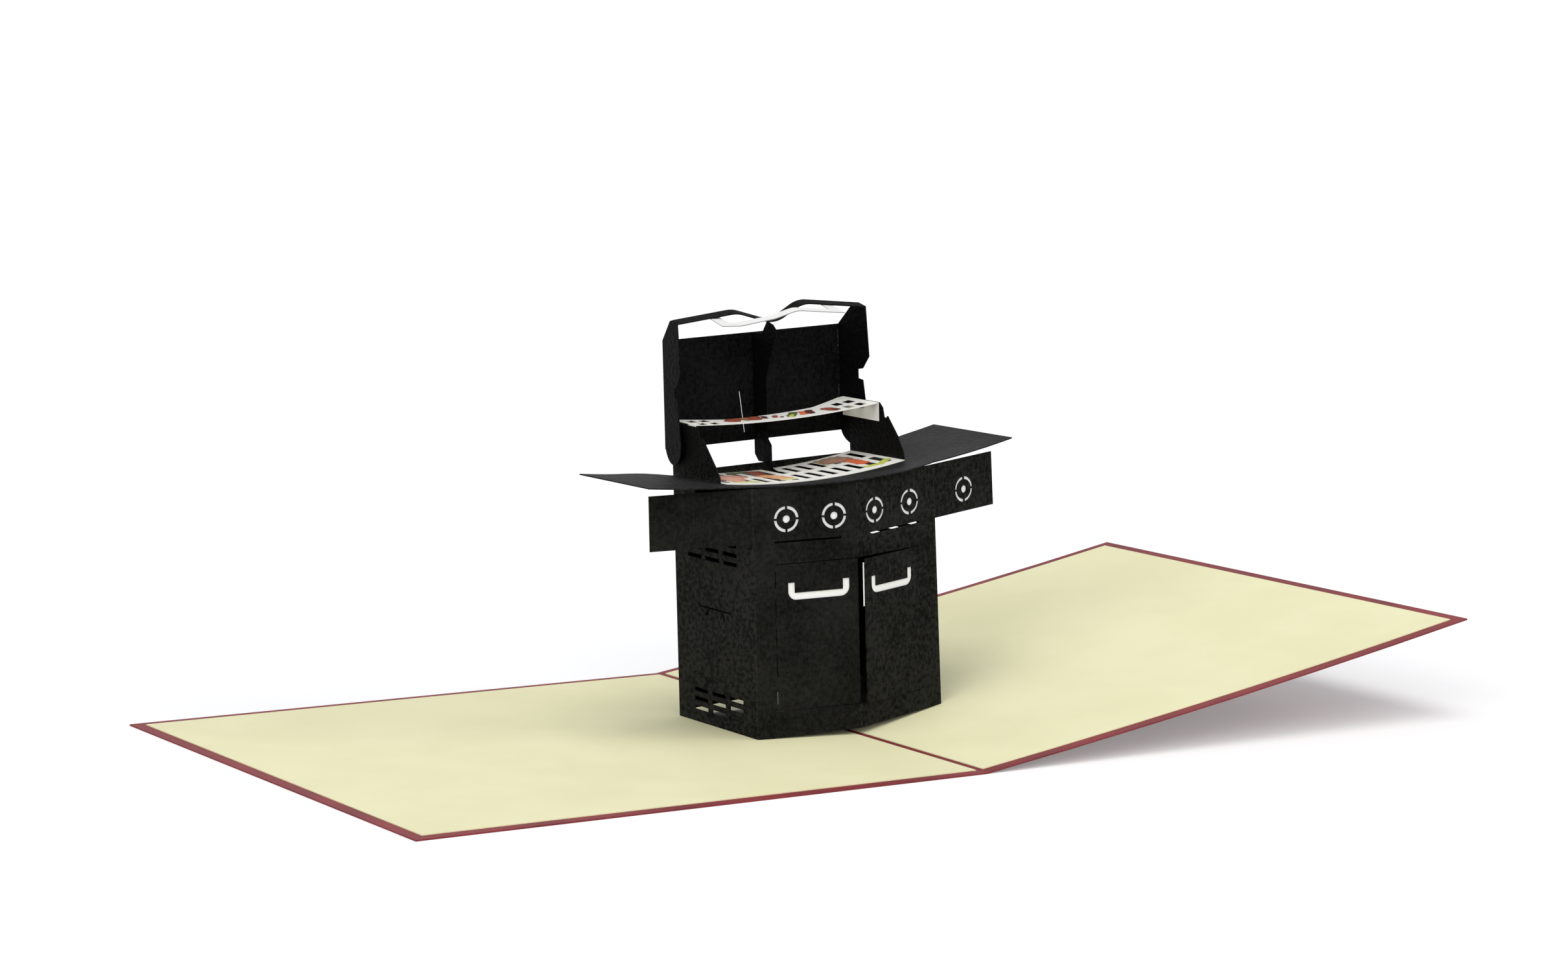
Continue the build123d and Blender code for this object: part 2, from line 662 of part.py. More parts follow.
def wave_band(points, rounding, thickness, slope, front):
    """Strip whose section follows rounded corners, drawn forwards and down from the rim's back."""
    over_points = [(x, z + thickness) for x, z in points]
    under = FilletPolyline(*points, radius=rounding)
    over = FilletPolyline(*over_points, radius=rounding)
    ends = Line(points[0], over_points[0]) + Line(points[-1], over_points[-1])
    start = Plane(origin=(0, RIM_BACK_Y, 0), x_dir=(1, 0, 0), z_dir=(0, -1, 0))
    length = (RIM_BACK_Y - front) * sqrt(1 + slope ** 2)
    return extrude(start * make_face(under + over + ends), amount=length, dir=(0, -1, -slope))


def cheek_face_x(y):
    """Outer face of the right lid cheek, at a place along the spine."""
    return LID_HALF + (LID_BACK_Y - y) * FLARE


def rim_band():
    """Narrow band that joins the tops of the two cheeks."""
    reach = cheek_face_x(RIM_FRONT_Y)
    peaks = [(x, RIM_HEIGHT + rise) for x, rise in (RIM_LEFT_PEAK, RIM_DIP, RIM_RIGHT_PEAK)]
    points = [(-reach, RIM_HEIGHT), *peaks, (reach, RIM_HEIGHT)]
    back_x = cheek_face_x(RIM_BACK_Y)
    plan = Polygon(
        (-back_x, RIM_BACK_Y),
        (-reach, RIM_FRONT_Y),
        (reach, RIM_FRONT_Y),
        (back_x, RIM_BACK_Y),
        align=None,
    )
    return wave_band(points, RIM_ROUND, CARD, RIM_SLOPE, RIM_FRONT_Y) & column(plan)


def lid():
    """Open lid: back panel, two flared cheeks and the rim band, one folded sheet."""
    plane = upright((0, LID_BACK_Y), 180)
    outline = rectangle(-LID_HALF, LID_HALF, LID_BACK_BOTTOM, LID_BACK_TOP)
    slit_place = Pos(CENTRE_SLIT_X, LID_BACK_BOTTOM + CENTRE_SLIT_RISE) * Rot(0, 0, -CENTRE_SLIT_TURN)
    outline -= slit_place * Rectangle(CENTRE_SLIT_WIDTH, CENTRE_SLIT)
    for side in (-1, 1):
        fold_x = side * (LID_HALF - CARD - FOLD_SLIT)
        outline -= Pos(fold_x, LID_BACK_TOP - UPPER_FOLD_SLIT_DROP) * Rectangle(FOLD_SLIT, UPPER_FOLD_SLIT)
        outline -= Pos(fold_x, LID_BACK_BOTTOM + LOWER_FOLD_SLIT_RISE) * Rectangle(FOLD_SLIT, LOWER_FOLD_SLIT)
    right = lid_cheek()
    return sheet(plane, outline, CARD) + right + mirrored(right) + rim_band()


def rim_underside(x, y):
    """Lowest height of the rim band near its dip, for what stands under it."""
    turn = (RIM_RIGHT_PEAK[1] - RIM_DIP[1]) / (RIM_RIGHT_PEAK[0] - RIM_DIP[0])
    return RIM_HEIGHT + RIM_DIP[1] + max(x - RIM_DIP[0], 0) * turn - (RIM_BACK_Y - y) * RIM_SLOPE


def lid_rib():
    """Rib on the centre fold, from the top of the back wall up to the dip of the rim band."""
    foot = CABINET_TOP + SEAT
    outline = Polygon(
        (RIB_FRONT_Y - RIB_FOOT_FRONT, foot),
        (LID_INNER_Y - RIB_FOOT_BACK, foot),
        (LID_INNER_Y, foot + RIB_FOOT_BACK),
        (LID_INNER_Y, LID_BACK_TOP),
        (LID_INNER_Y - RIB_HEAD_BACK, LID_BACK_TOP),
        (RIM_BACK_Y, rim_underside(0, RIM_BACK_Y) - SEAT),
        (RIM_FRONT_Y, rim_underside(0, RIM_FRONT_Y) - SEAT),
        (RIB_FRONT_Y - RIB_HEAD_FRONT, LID_BACK_TOP + RIB_HEAD_RISE),
        (RIB_FRONT_Y, LID_BACK_TOP - RIB_HEAD_HEIGHT),
        (RIB_FRONT_Y, foot + RIB_FOOT_HEIGHT + RIB_FOOT_FRONT),
        (RIB_FRONT_Y - RIB_FOOT_FRONT, foot + RIB_FOOT_HEIGHT),
        align=None,
    )
    middle = Plane(origin=(0, 0, 0), x_dir=(0, 1, 0), z_dir=(1, 0, 0))
    return extrude(middle * outline, amount=CARD / 2, both=True)


def handle_end(side):
    """End of the handle's left (-1) or right (1) leg, just under the straight end of the rim band."""
    peak_x, peak_rise = RIM_RIGHT_PEAK if side > 0 else RIM_LEFT_PEAK
    reach = side * cheek_face_x(RIM_FRONT_Y)
    end_x = side * HANDLE_HALF
    rise = peak_rise * (reach - end_x) / (reach - peak_x)
    return end_x, RIM_HEIGHT + rise - PAPER - SEAT - RIM_WIDTH * (RIM_SLOPE - HANDLE_SLOPE)


def lid_handle():
    """White strip in front of the rim band, held by a leg under the band at each end."""
    bends = [(x, RIM_HEIGHT + rise) for x, rise in (HANDLE_BEND, HANDLE_MIDDLE, HANDLE_PEAK)]
    points = [handle_end(-1), *bends, handle_end(1)]
    band = wave_band(points, HANDLE_ROUND, PAPER, HANDLE_SLOPE, HANDLE_FRONT_Y)
    gap_half = HANDLE_HALF - HANDLE_LEG
    gap = rectangle(-gap_half, gap_half, HANDLE_FRONT_Y + HANDLE_STRIP, RIM_BACK_Y)
    return band - column(gap)


def rack_end(side):
    """End of the warming rack inside both pairs of cheeks, on the left (-1) or right (1)."""
    cheek, spread = (RIGHT_CHEEK, RIGHT_SPREAD) if side > 0 else (LEFT_CHEEK, 0)
    cook_inside = wall_x(CABINET_TOP + cheek[-1][1], spread) - CARD / cos(radians(spread))
    lid_inside = cheek_face_x(RACK_BACK_Y) - CARD / cos(radians(LID_FLARE))
    return side * (min(cook_inside, lid_inside) - SIDE_CLEARANCE)


def rack_holes(side):
    """Two rows of two holes near one end; the left rows lie further back, as the front edge does."""
    holes = Sketch()
    skew = RACK_SKEW * RACK_ROW_SKEW if side < 0 else 0
    for column_index in range(2):
        hole_x = rack_end(side) - side * (RACK_HOLE_INSET + column_index * RACK_HOLE_PITCH)
        for row_index in range(2):
            hole_y = RACK_FRONT_Y + skew + RACK_ROW_START + row_index * RACK_ROW_PITCH
            holes += Pos(hole_x, hole_y) * Rectangle(RACK_HOLE_WIDTH, RACK_HOLE_LENGTH)
    return holes


def warming_rack():
    """Warming rack with a flap down each end and four holes near it."""
    base = CABINET_TOP + RACK_HEIGHT
    left, right = rack_end(-1), rack_end(1)
    rack = bent_sheet(left, right, RACK_FRONT_Y, RACK_BACK_Y, RACK_LOW_POINT, base, RACK_BEND, PAPER)
    middle_back = RIB_FRONT_Y - 2 * SEAT
    plan = Polygon(
        (left, RACK_FRONT_Y + RACK_SKEW),
        (right, RACK_FRONT_Y),
        (right, RACK_BACK_Y),
        (RACK_EAR_FAR, RACK_BACK_Y),
        (RACK_EAR_NEAR, middle_back),
        (-RACK_EAR_NEAR, middle_back),
        (-RACK_EAR_FAR, RACK_BACK_Y),
        (left, RACK_BACK_Y),
        align=None,
    )
    rack &= column(plan - rack_holes(-1) - rack_holes(1))
    for side, front in ((-1, RACK_FRONT_Y + RACK_SKEW), (1, RACK_FRONT_Y)):
        end_x = rack_end(side)
        top = bow(end_x, RACK_LOW_POINT, base, RACK_BEND) + PAPER
        edges = sorted((end_x, end_x - side * PAPER))
        rack += box_between(*edges, front, RACK_BACK_Y, top - RACK_FLAP, top)
    return rack


def cooking_grate():
    """Grate on the worktop's tongue: two rows of slots, the middle one open to a flared back notch."""
    half = INNER_HALF - SIDE_CLEARANCE
    back = GRATE_BACK_Y
    front = GRATE_FRONT_Y
    row_length = (GRATE_DEPTH - GRATE_FRONT_BORDER - GRATE_MIDDLE_BAR - GRATE_BACK_BORDER) / 2
    pitch = (2 * (half - GRATE_SIDE_BORDER) + GRATE_BAR) / GRATE_COLUMNS
    slot = pitch - GRATE_BAR
    back_row = back - GRATE_BACK_BORDER - row_length
    cuts = Polygon(
        (-slot / 2, back + SEAT),
        (slot / 2 + GRATE_NOTCH_FLARE, back + SEAT),
        (slot / 2, back - GRATE_NOTCH_DEPTH),
        (-slot / 2, back - GRATE_NOTCH_DEPTH),
        align=None,
    )
    rows = ((GRATE_FRONT_SLOTS, front + GRATE_FRONT_BORDER), (GRATE_BACK_SLOTS, back_row))
    for slots, row_front in rows:
        for index in slots:
            slot_x = pitch * (index - (GRATE_COLUMNS - 1) / 2)
            cuts += Pos(slot_x, row_front + row_length / 2) * Rectangle(slot, row_length)
    plan = rectangle(-half, half, front, back) - cuts
    return soft_sheet(plan, tongue_height, GRATE_SEAT, GRATE_STEPS, PAPER)


def knob_backing(last_knob, rise):
    """White paper behind a front half's knobs, from the first one to the last."""
    reach = KNOB_DIAMETER / 2 + BACKING_MARGIN
    first = KNOB_FIRST - reach
    middle = (first + last_knob + reach) / 2
    knob_z = CABINET_TOP - KNOB_DROP + middle * tan(radians(rise))
    strip = Rectangle(last_knob + reach - first, 2 * reach)
    return sheet(front_plane().offset(-CARD), Pos(middle, knob_z) * Rot(0, 0, rise) * strip, PAPER)


def door_backing(ajar, overlap):
    """White paper behind a door's handle, reaching to or past the door's free edge."""
    top = DOOR_TOP - DOOR_BACKING_DROP
    far = HANDLE_WIDTH / 2 + BACKING_MARGIN - DOOR_WIDTH / 2 - HANDLE_OFFSET
    outline = rectangle(-overlap - DOOR_WIDTH, far, top - DOOR_BACKING_HEIGHT, top)
    return sheet(door_plane(ajar).offset(-CARD), outline, PAPER)


def main():
    """Build every sheet in its place and write one file for each."""
    parts = {
        "card_cover": card_cover(),
        "liner_left": liner_left(),
        "liner_right": liner_right(),
        "cabinet": lean(cabinet()),
        "back_wall": lean(back_wall()),
        "worktop": lean(worktop()),
        "lid": lean(lid()),
        "lid_rib": lean(lid_rib()),
        "lid_handle": lean(lid_handle()),
        "warming_rack": lean(warming_rack()),
        "cooking_grate": lean(cooking_grate()),
        "knob_backing_left": lean(mirrored(knob_backing(KNOB_FIRST + KNOB_PITCH, LEFT_RISE))),
        "knob_backing_right": lean(knob_backing(PANEL_WIDTH + WING_KNOB, RIGHT_RISE)),
        "door_backing_left": lean(mirrored(door_backing(0, -BACKING_MARGIN))),
        "door_backing_right": lean(door_backing(DOOR_AJAR, DOOR_BACKING_SHOW)),
    }
    os.makedirs("parts", exist_ok=True)
    for name, shape in parts.items():
        export_step(shape, f"parts/{name}.step")


main()
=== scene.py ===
"""Looks of the pop-up greeting card: card and paper finishes, printed food, soft light and camera."""
from collections import namedtuple
from math import cos, pi, radians, sin

import bpy
from mathutils import Matrix, Vector


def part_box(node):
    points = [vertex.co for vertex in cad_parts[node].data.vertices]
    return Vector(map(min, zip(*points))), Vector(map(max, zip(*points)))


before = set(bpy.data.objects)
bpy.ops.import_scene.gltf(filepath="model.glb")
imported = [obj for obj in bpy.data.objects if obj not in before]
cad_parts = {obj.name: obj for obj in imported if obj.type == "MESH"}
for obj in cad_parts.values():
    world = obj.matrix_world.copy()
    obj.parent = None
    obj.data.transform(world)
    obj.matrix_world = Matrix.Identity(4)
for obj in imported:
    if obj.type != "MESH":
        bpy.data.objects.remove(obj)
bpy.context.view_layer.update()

MM = 0.001
WHITE = (1.0, 1.0, 1.0, 1.0)

# Camera of the photograph: place in metres, angles in degrees, lens and sensor in mm
CAMERA_PLACE = (-0.55475, -0.84659, 0.192)
CAMERA_AZIMUTH = -32.8015
CAMERA_TILT = -7.54698
CAMERA_ROLL = 0.79221
CAMERA_LENS = 94.97
SENSOR = 36.0

# Light. Each soft sun has the azimuth and elevation it comes from, its level and its softness in degrees;
# a level of 1 shows a facing surface in its own colour
SKY_LEVEL = 0.36
SKY_TINT = (0.9, 0.94, 1.05, 1.0)
SUN_TINT = (1.0, 0.985, 0.95)
SUNS = {
    "top": (230, 78, 0.35, 40),
    "front_left": (205, 24, 0.28, 34),
    "front_right": (-35, 22, 0.22, 34),
    "front": (245, 30, 0.28, 55),
}

# Floor: size in metres, colour, and the white added to it where it is seen
FLOOR_SIZE = 12.0
FLOOR_COLOUR = (0.82, 0.82, 0.82, 1.0)
FLOOR_LIFT = 0.22

# Finish of each card and paper: dark and light shade, roughness and gloss. A shade is written as the
# 0 to 255 values that it shows as
Finish = namedtuple("Finish", "dark light roughness gloss")
FINISHES = {
    "black_card": Finish((6, 6, 5), (36, 36, 34), 0.62, 0.035),
    "black_worktop_card": Finish((7, 7, 7), (38, 38, 39), 0.55, 0.06),
    # The lid's card is a darker copy of the black card: painted shade for the lid, whose inside its cheeks
    # keep from the light
    "black_lid_card": Finish((5, 5, 5), (25, 25, 25), 0.62, 0.03),
    "maroon_card": Finish((104, 30, 36), (132, 46, 50), 0.6, 0.3),
    "cream_paper": Finish((232, 228, 186), (237, 234, 192), 0.7, 0.3),
    "white_paper": Finish((238, 238, 235), (245, 245, 243), 0.55, 0.3),
    # The handle's dark shade is painted shade for its front edge and its cut sides
    "handle_paper": Finish((140, 139, 136), (228, 228, 226), 0.55, 0.3),
    "printed_paper": Finish((236, 235, 226), (243, 242, 236), 0.5, 0.3),
}

# Shades of worn folds, of the painted shadow along the hook's cuts, of dark print and of the painted shade on
# the rack's flaps, and of the painted shade on the ground inside the cabinet
WORN_SHADE = (58, 58, 56)
HOOK_PAINTED_SHADOW = (4, 4, 4)
PRINT_AND_PAINTED_SHADE = (24, 21, 18)
GROUND_PAINTED_SHADE = (22, 21, 19)

# Grain of each card and paper, in mm: size of its fibres, size of its clouds of shade, and depth
Grain = namedtuple("Grain", "fibre cloud depth")
BLACK_GRAIN = Grain(0.5, 16.0, 0.9)
MAROON_GRAIN = Grain(0.5, 25.0, 0.05)
CREAM_GRAIN = Grain(0.45, 30.0, 0.03)
WHITE_GRAIN = Grain(0.4, 9.0, 0.02)
PRINTED_GRAIN = Grain(0.4, 8.0, 0.02)

# Lumps and specks of the black card, in mm, and how far the lumps and the fibres are drawn out
LUMP_SIZE = 1.25
LUMP_STRETCH = (1.0, 1.25, 0.8)
FIBRE_STRETCH = (1.0, 1.0, 2.6)
SPECK_SIZE = 0.3

# Shares in the black card's grain: lumps on faces that look to the right, and the least of them anywhere,
# fibres on faces that look to the left and to the right, specks, and clouds. The contrast is how strongly
# their sum shows in the colour
LUMPS_RIGHT = 0.55
LUMPS_LEAST = 0.3
FIBRES_LEFT = 0.25
FIBRES_RIGHT = 0.6
SPECK_SHARE = 0.1
CLOUD_SHARE = 0.3
CARD_CONTRAST = 2.5

# Between which values the mottle of a card or paper goes from its dark to its light shade
BLACK_SPREAD = (0.1, 0.9)
MAROON_SPREAD = (0.25, 0.75)
MAROON_FIBRE_SHARE = 0.8
CREAM_SPREAD = (0.3, 0.7)

# Between which parts of its direction a face counts as a side face, as one that looks to the right,
# as the rack's end flap, and as an upper face
SIDE_FACE = (0.5, 0.9)
RIGHT_FACE = (-0.12, 0.12)
FLAP_FACE = (0.5, 0.8)
UPPER_FACE = (0.3, 0.6)

# The grill leans about the spine, towards the flat page
GRILL_LEAN = radians(2.5)

# Folds of the cabinet's front in the grill's plan, in mm: the middle fold and the two corners, with the
# width of the wear along them, the size of its breaks, between which values it breaks, and its strength
FOLD_PLACES = ((0.0, -22.6), (-26.4, -16.9), (26.4, -16.9))
FOLD_WEAR = 0.35
FOLD_BREAK = 1.2
FOLD_BREAK_SPREAD = (0.42, 0.62)
FOLD_WEAR_SHARE = 0.5

# Painted shade on the cheeks of the cook box: their side faces are darker than the walls under them, as the
# worktop keeps light from below off them. The change lies between two heights, in mm
CHEEK_SHADE_FADE = (62.5, 65.0)
CHEEK_PAINTED_SHADE = 0.9

# Plan of the cook box behind the grate's front edge, where the worktop gets painted shade, and its soft
# edges, in mm
COOK_BOX_HALF = 26.0
COOK_BOX_FRONT = -4.6
COOK_BOX_SOFT = 0.3
COOK_BOX_FADE = 1.0

# Painted shade on the pages inside the cabinet's walls, dark so that it closes the cabinet off below, in mm
CABINET_HALF = 25.0
CABINET_FRONT = -15.5
CABINET_BACK = 19.0
GROUND_SOFT = 0.2

# Painted shadow along the hook cut into each side wall, as lines in mm: start and end, back and up, and half
# width
HOOK_SHADOW_LINES = (
    ((-5.2, 31.2), (7.6, 31.2), 0.25),
    ((-2.6, 31.0), (-1.0, 29.4), 0.3),
    ((5.6, 31.0), (4.6, 29.6), 0.3),
)
HOOK_SOFT = 0.15

# Slots of the cooking grate, in mm; those that aren't cut through are printed dark
GRATE_HALF = 26.05
GRATE_FRONT_BORDER = 3.2
GRATE_BACK_BORDER = 2.0
GRATE_SIDE_BORDER = 1.5
GRATE_MIDDLE_BAR = 2.5
GRATE_BAR = 1.95
GRATE_COLUMNS = 13
SLOT_SOFT = 0.08

# Width of the painted shade along the handle's front edge, and its softness, in mm
HANDLE_EDGE = 0.16
HANDLE_EDGE_SOFT = 0.04

# Painted shade on the rack's end flaps, a dark band in mm: from this far back, between two heights, and its
# soft edges
FLAP_SHADE_START = 11.5
FLAP_SHADE_LOW = 74.7
FLAP_SHADE_HIGH = 76.8
FLAP_SHADE_BACK_FADE = 1.5
FLAP_SHADE_LOW_FADE = 0.6
FLAP_SHADE_SOFT = 0.1

# Printed food: dark and light shade of each ink
INKS = {
    "steak": ((120, 66, 42), (186, 130, 88)),
    "crust": ((118, 96, 40), (168, 140, 74)),
    "salmon": ((196, 118, 98), (228, 172, 146)),
    "peach": ((206, 132, 96), (232, 182, 128)),
    "sausage": ((112, 50, 38), (168, 88, 66)),
    "carrot": ((204, 76, 44), (226, 122, 74)),
    "lime": ((166, 176, 60), (214, 216, 110)),
    "pale": ((196, 198, 128), (222, 218, 158)),
    "leaf": ((44, 62, 30), (98, 116, 60)),
    "tan": ((128, 86, 54), (164, 116, 78)),
    "dark": ((50, 22, 20), (92, 42, 36)),
}

# Edges of the printed food stray by this much, times the root of a piece's half width, in waves of this
# size in mm. Each piece darkens towards its edge, from a share of its half width, and is mottled
STRAY = 1.4
STRAY_SIZE = 1.6
RIM_START = 0.3
RIM_DARK = 0.75
MOTTLE_SIZE = 0.9
MOTTLE_SPREAD = (0.35, 0.65)
MOTTLE_DARK = 0.55
FOOD_SOFT = 0.12

# Food on the grate and on the rack, in mm in the grill's plan: ink, start, end and half width
GRATE_FOOD = (
    ("leaf", (-11.4, 17.0), (-6.0, 17.4), 1.3),
    ("leaf", (-12.6, 15.4), (-9.6, 17.6), 0.9),
    ("sausage", (-20.4, 13.2), (-17.4, 16.2), 1.9),
    ("salmon", (-18.8, 4.6), (-14.8, 10.6), 3.5),
    ("pale", (-20.4, -0.6), (-14.0, 0.2), 1.4),
    ("dark", (-22.4, 3.2), (-21.4, 4.4), 0.9),
    ("sausage", (-4.9, 16.6), (-6.9, 9.6), 1.8),
    ("peach", (-6.4, 8.4), (-4.7, 2.8), 2.4),
    ("pale", (-6.4, -0.2), (-3.4, 0.6), 1.1),
    ("crust", (14.6, 14.2), (17.6, 14.6), 3.4),
    ("steak", (16.4, 13.4), (18.2, 12.4), 3.2),
    ("carrot", (19.3, 9.2), (19.3, 3.8), 1.7),
    ("lime", (17.2, -1.0), (20.8, -1.8), 1.1),
    ("lime", (20.8, -1.8), (24.3, 0.6), 1.1),
)
RACK_FOOD = (
    ("sausage", (-12.6, 13.4), (-10.4, 16.6), 2.2),
    ("tan", (-8.6, 12.8), (-7.4, 16.8), 1.4),
    ("sausage", (-6.3, 12.4), (-4.7, 16.6), 1.6),
    ("dark", (-3.5, 12.6), (-2.6, 15.4), 0.9),
    ("sausage", (-1.0, 11.8), (0.3, 14.4), 0.7),
    ("dark", (0.4, 11.0), (0.8, 12.0), 0.5),
    ("leaf", (2.9, 10.6), (6.0, 14.6), 1.2),
    ("lime", (2.7, 10.2), (4.2, 12.2), 0.6),
    ("carrot", (6.5, 10.6), (8.1, 13.6), 1.0),
    ("dark", (8.6, 10.2), (10.1, 14.2), 1.0),
    ("sausage", (14.2, 12.2), (14.9, 9.2), 1.6),
    ("dark", (15.1, 9.6), (15.3, 8.8), 0.8),
)


class Graph:
    """Short ways to make and join the nodes of one material or world."""

    def __init__(self, owner):
        owner.use_nodes = True
        self.owner = owner
        self.tree = owner.node_tree
        self.tree.nodes.clear()

    def node(self, kind, inputs=None, **settings):
        """New node; inputs are values or the outputs of other nodes, by name or number."""
        made = self.tree.nodes.new(kind)
        for name, value in settings.items():
            setattr(made, name, value)
        for key, value in (inputs or {}).items():
            self.put(made.inputs[key], value)
        return made

    def put(self, socket, value):
        """Set a socket to a value, or link it to an output."""
        if isinstance(value, bpy.types.NodeSocket):
            self.tree.links.new(value, socket)
        else:
            socket.default_value = value

    def math(self, operation, a, b=0.0, c=0.0, clamp=False):
        """Result of one number operation."""
        inputs = {0: a, 1: b, 2: c}
        return self.node("ShaderNodeMath", inputs, operation=operation, use_clamp=clamp).outputs[0]

    def vector(self, operation, a, b=(0.0, 0.0, 0.0)):
        """Result of one vector operation."""
        made = self.node("ShaderNodeVectorMath", {0: a, 1: b}, operation=operation)
        return made.outputs["Value"] if operation in ("LENGTH", "DOT_PRODUCT") else made.outputs["Vector"]

    def scaled(self, vector, factor):
        """Vector times a number."""
        made = self.node("ShaderNodeVectorMath", {0: vector, "Scale": factor}, operation="SCALE")
        return made.outputs["Vector"]

    def parts(self, vector):
        """The three parts of a vector."""
        return self.node("ShaderNodeSeparateXYZ", {0: vector}).outputs

    def mix(self, share, first, second):
        """Colour between two colours."""
        made = self.node("ShaderNodeMix", data_type="RGBA")
        self.put(made.inputs["Factor"], share)
        self.put(made.inputs[6], first)
        self.put(made.inputs[7], second)
        return made.outputs[2]

    def step(self, value, low, high, to_low=0.0, to_high=1.0):
        """Smooth step of a number between two ends."""
        inputs = {"Value": value, "From Min": low, "From Max": high, "To Min": to_low, "To Max": to_high}
        return self.node("ShaderNodeMapRange", inputs, interpolation_type="SMOOTHSTEP").outputs[0]

    def below(self, value, limit, softness):
        """1 where a number is under a limit, 0 where it is over, with a soft edge."""
        return self.step(value, limit - softness, limit + softness, 1.0, 0.0)

    def place(self):
        """Position on the object, in metres, upright as the card lies."""
        return self.node("ShaderNodeTexCoord").outputs["Object"]

    def grill_place(self):
        """Position in the leaned frame of the grill, in mm."""
        scale = (1 / MM, 1 / MM, 1 / MM)
        inputs = {"Vector": self.place(), "Rotation": (0.0, GRILL_LEAN, 0.0), "Scale": scale}
        return self.node("ShaderNodeMapping", inputs).outputs[0]

    def facing(self):
        """The three parts of the direction that the surface faces."""
        return self.parts(self.node("ShaderNodeNewGeometry").outputs["True Normal"])

    def noise(self, place, size, detail=3.0, roughness=0.55, stretch=(1.0, 1.0, 1.0)):
        """Noise whose features are about a size across, drawn out along the stretch."""
        scale = tuple(1.0 / (size * along) for along in stretch)
        scaled = self.node("ShaderNodeMapping", {"Vector": place, "Scale": scale}).outputs[0]
        inputs = {"Vector": scaled, "Scale": 1.0, "Detail": detail, "Roughness": roughness}
        return self.node("ShaderNodeTexNoise", inputs, noise_dimensions="3D").outputs["Fac"]

    def swing(self, place, size, **more):
        """Noise that swings about zero."""
        return self.math("SUBTRACT", self.noise(place, size, **more), 0.5)

    def bump(self, height, depth):
        """Bump whose full height is a depth in mm."""
        inputs = {"Height": height, "Distance": depth * MM, "Strength": 1.0}
        return self.node("ShaderNodeBump", inputs).outputs[0]

    def surface(self, colour, normal, roughness, gloss):
        """Finish the material with one surface shader."""
        inputs = {"Base Color": colour, "Normal": normal, "Roughness": roughness, "Specular IOR Level": gloss}
        shader = self.node("ShaderNodeBsdfPrincipled", inputs)
        self.node("ShaderNodeOutputMaterial", {"Surface": shader.outputs[0]})
        return self.owner


def material_graph(name):
    """Graph of a new material."""
    return Graph(bpy.data.materials.new(name))


def linear(shade):
    """Colour in linear light from the 0 to 255 values that it shows as."""
    def one(value):
        share = value / 255
        return share / 12.92 if share <= 0.04045 else ((share + 0.055) / 1.055) ** 2.4
    red, green, blue = shade
    return one(red), one(green), one(blue), 1.0


def plan(graph, place):
    """Position in plan, with no height."""
    return graph.vector("MULTIPLY", place, (1.0, 1.0, 0.0))


def fold_wear(graph, place):
    """Narrow, broken lines along the folds of the cabinet's front."""
    flat = plan(graph, place)
    lines = 0.0
    for fold_x, fold_y in FOLD_PLACES:
        away = graph.vector("LENGTH", graph.vector("SUBTRACT", flat, (fold_x, fold_y, 0.0)))
        lines = graph.math("MAXIMUM", graph.below(away, FOLD_WEAR / 2, FOLD_WEAR / 2), lines)
    broken = graph.step(graph.noise(place, FOLD_BREAK, detail=2.0), *FOLD_BREAK_SPREAD)
    return graph.math("MULTIPLY", lines, broken)


def bar_distance(graph, place, start, end):
    """Distance from a straight line between two places."""
    run = Vector(end) - Vector(start)
    offset = graph.vector("SUBTRACT", place, start)
    reach = graph.vector("DOT_PRODUCT", offset, tuple(run))
    along = graph.math("DIVIDE", reach, run.length_squared, clamp=True)
    return graph.vector("LENGTH", graph.vector("SUBTRACT", offset, graph.scaled(tuple(run), along)))


def hook_painted_shadow(graph, place):
    """Painted shadow: dark lines along the hook cut into a side wall, where its cuts and tab cast shade."""
    flat = graph.vector("MULTIPLY", place, (0.0, 1.0, 1.0))
    shade = 0.0
    for start, end, half_width in HOOK_SHADOW_LINES:
        away = bar_distance(graph, flat, (0.0, *start), (0.0, *end))
        shade = graph.math("MAXIMUM", graph.below(away, half_width, HOOK_SOFT), shade)
    return shade


def in_cook_box(graph, place):
    """1 on what lies in the plan of the cook box, where the worktop gets painted shade and no daylight
    glances off the card.
    """
    x, y, _ = graph.parts(place)
    between = graph.below(graph.math("ABSOLUTE", x), COOK_BOX_HALF, COOK_BOX_SOFT)
    behind = graph.step(y, COOK_BOX_FRONT, COOK_BOX_FRONT + COOK_BOX_FADE)
    return graph.math("MULTIPLY", between, behind)


def card_grain(graph, sideways, rightward):
    """Height of the black card's grain, and the mottle of its colour."""
    place = graph.place()
    lumps = graph.swing(place, LUMP_SIZE * MM, stretch=LUMP_STRETCH)
    fibres = graph.swing(place, BLACK_GRAIN.fibre * MM, stretch=FIBRE_STRETCH)
    specks = graph.swing(place, SPECK_SIZE * MM, detail=2.0)
    cloud = graph.swing(place, BLACK_GRAIN.cloud * MM, detail=2.0)
    lump_share = graph.math("MAXIMUM", sideways, graph.math("MULTIPLY", rightward, LUMPS_RIGHT))
    coarse = graph.math("MULTIPLY", lumps, graph.step(lump_share, 0.0, 1.0, LUMPS_LEAST, 1.0))
    fine = graph.math("MULTIPLY", fibres, graph.step(rightward, 0.0, 1.0, FIBRES_LEFT, FIBRES_RIGHT))
    height = graph.math("ADD", coarse, graph.math("MULTIPLY_ADD", specks, SPECK_SHARE, fine))
    mottle = graph.math("MULTIPLY_ADD", cloud, CLOUD_SHARE, height)
    return height, graph.math("MULTIPLY_ADD", mottle, CARD_CONTRAST, 0.5)


